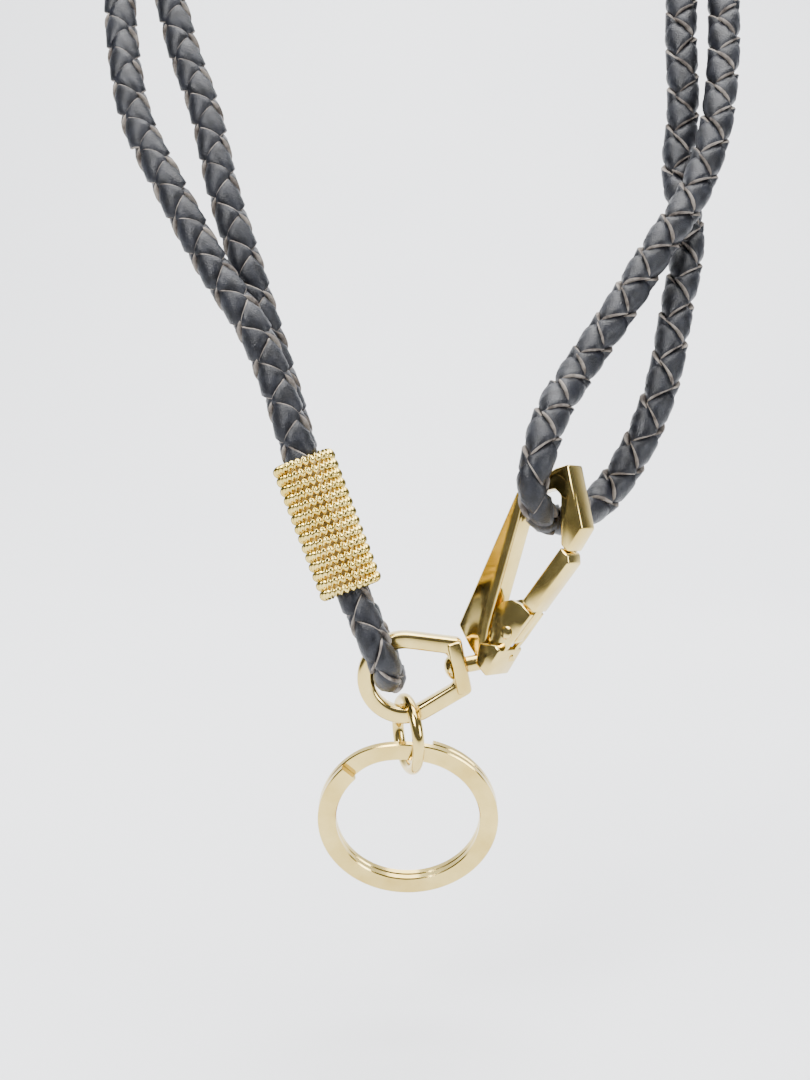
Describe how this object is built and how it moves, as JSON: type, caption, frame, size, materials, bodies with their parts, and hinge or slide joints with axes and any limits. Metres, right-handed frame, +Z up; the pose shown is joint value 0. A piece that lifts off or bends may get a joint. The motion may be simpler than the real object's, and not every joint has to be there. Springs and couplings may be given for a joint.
{
  "type": "lanyard",
  "caption": "Necklace lanyard of round braided leather cord worn double, with a crimped sleeve, a D-ring with a swivel snap hook, a jump ring and a split key ring.",
  "frame": {"origin": "inner face of the cord at the middle of its back, where it rests on the neck", "axes": "-Y is the wearer's front, +Z up, and +X to the right of someone who faces the wearer"},
  "size_m": [0.1415, 0.1405, 0.2371],
  "materials": {
    "black_leather": "soft sheen",
    "gold_plate": "polished",
    "spring_wire": "bright"
  },
  "bodies": {
    "strap": {"cord_inner_pass": "black_leather", "cord_outer_pass": "black_leather", "cord_end_loop": "black_leather", "sleeve": "gold_plate"},
    "d_ring": {"d_ring": "gold_plate"},
    "hook": {"hook_body": "gold_plate", "swivel_post": "gold_plate", "gate_pin": "gold_plate", "gate_spring": "spring_wire"},
    "gate": {"gate": "gold_plate"},
    "jump_ring": {"jump_ring": "gold_plate"},
    "key_ring": {"key_ring": "gold_plate"}
  },
  "joints": [
    {"name": "d_ring_roll", "type": "hinge", "parent": "strap", "child": "d_ring", "pos_m": [-0.01, -0.11768, -0.1717], "axis": [0.7662, -0.044, 0.6411], "range_deg": [-6, 4]},
    {"name": "hook_swivel", "type": "hinge", "parent": "d_ring", "child": "hook", "pos_m": [0.00825, -0.11768, -0.17436], "axis": [0.9781, 0, 0.2079], "range_deg": [-2, 1]},
    {"name": "gate_hinge", "type": "hinge", "parent": "hook", "child": "gate", "pos_m": [0.01741, -0.11966, -0.16709], "axis": [-0.6157, -0.7708, 0.1638], "range_deg": [0, 12], "stiffness_Nm_per_rad": 0.02, "springref_deg": -17.19, "deforming": ["gate_spring"]},
    {"name": "jump_ring_swing", "type": "hinge", "parent": "d_ring", "child": "jump_ring", "pos_m": [-0.0034, -0.11768, -0.1849], "axis": [1, 0, 0], "range_deg": [-30, 30]},
    {"name": "key_ring_swing", "type": "hinge", "parent": "jump_ring", "child": "key_ring", "pos_m": [-0.0034, -0.11689, -0.19246], "axis": [0, 0.9703, 0.2419], "range_deg": [-15, 15]}
  ]
}
